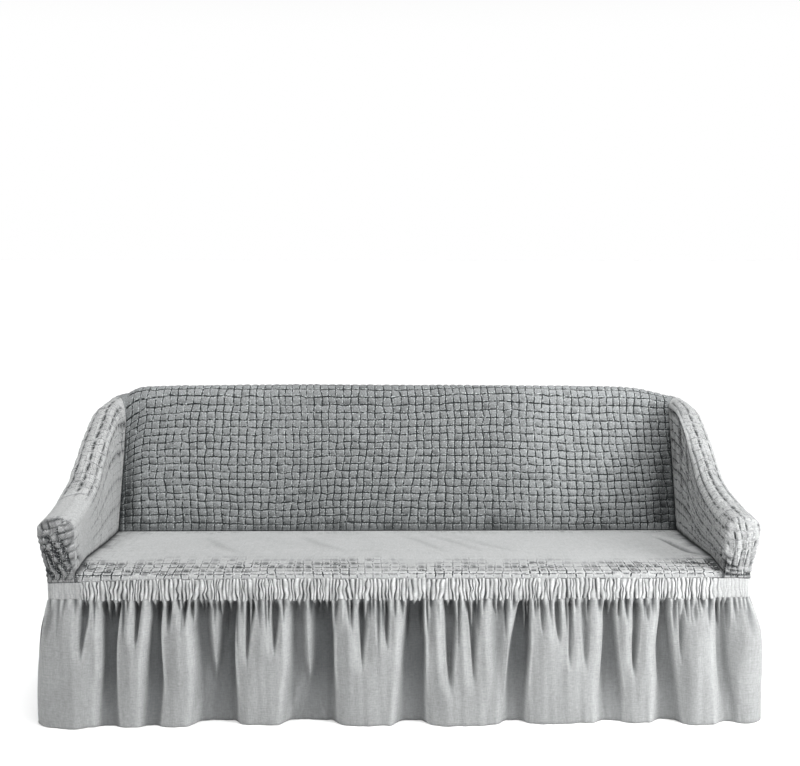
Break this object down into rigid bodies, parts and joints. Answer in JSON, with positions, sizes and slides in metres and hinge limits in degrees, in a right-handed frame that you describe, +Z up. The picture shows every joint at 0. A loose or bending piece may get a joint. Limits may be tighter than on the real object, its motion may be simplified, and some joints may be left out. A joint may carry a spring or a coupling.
{
  "type": "sofa slipcover",
  "caption": "Fitted, hollow slipcover for a long sofa: crinkled stretch panels over back, arms and seat, a shirred elastic band and a gathered skirt that hangs to the floor.",
  "frame": {"origin": "on the floor, under the middle of the sofa that the cover fits", "axes": "+X along the sofa, to the right as seen from its front; +Y from the front to the back; +Z up"},
  "size_m": [2.1539, 0.9875, 0.9053],
  "materials": {
    "crinkled_cloth": "matt, light grey, puffed squares between elastic shirring lines",
    "shirred_cloth": "matt, light grey, fine upright pleats",
    "skirt_cloth": "matt, light grey, plain weave with a soft sheen"
  },
  "bodies": {
    "root": {"arm_left": "crinkled_cloth", "arm_right": "crinkled_cloth", "inside_back": "crinkled_cloth", "outside_back": "crinkled_cloth", "seat": "crinkled_cloth", "shirred_band": "shirred_cloth", "skirt_front": "skirt_cloth", "skirt_right": "skirt_cloth", "skirt_back": "skirt_cloth", "skirt_left": "skirt_cloth"}
  },
  "joints": []
}
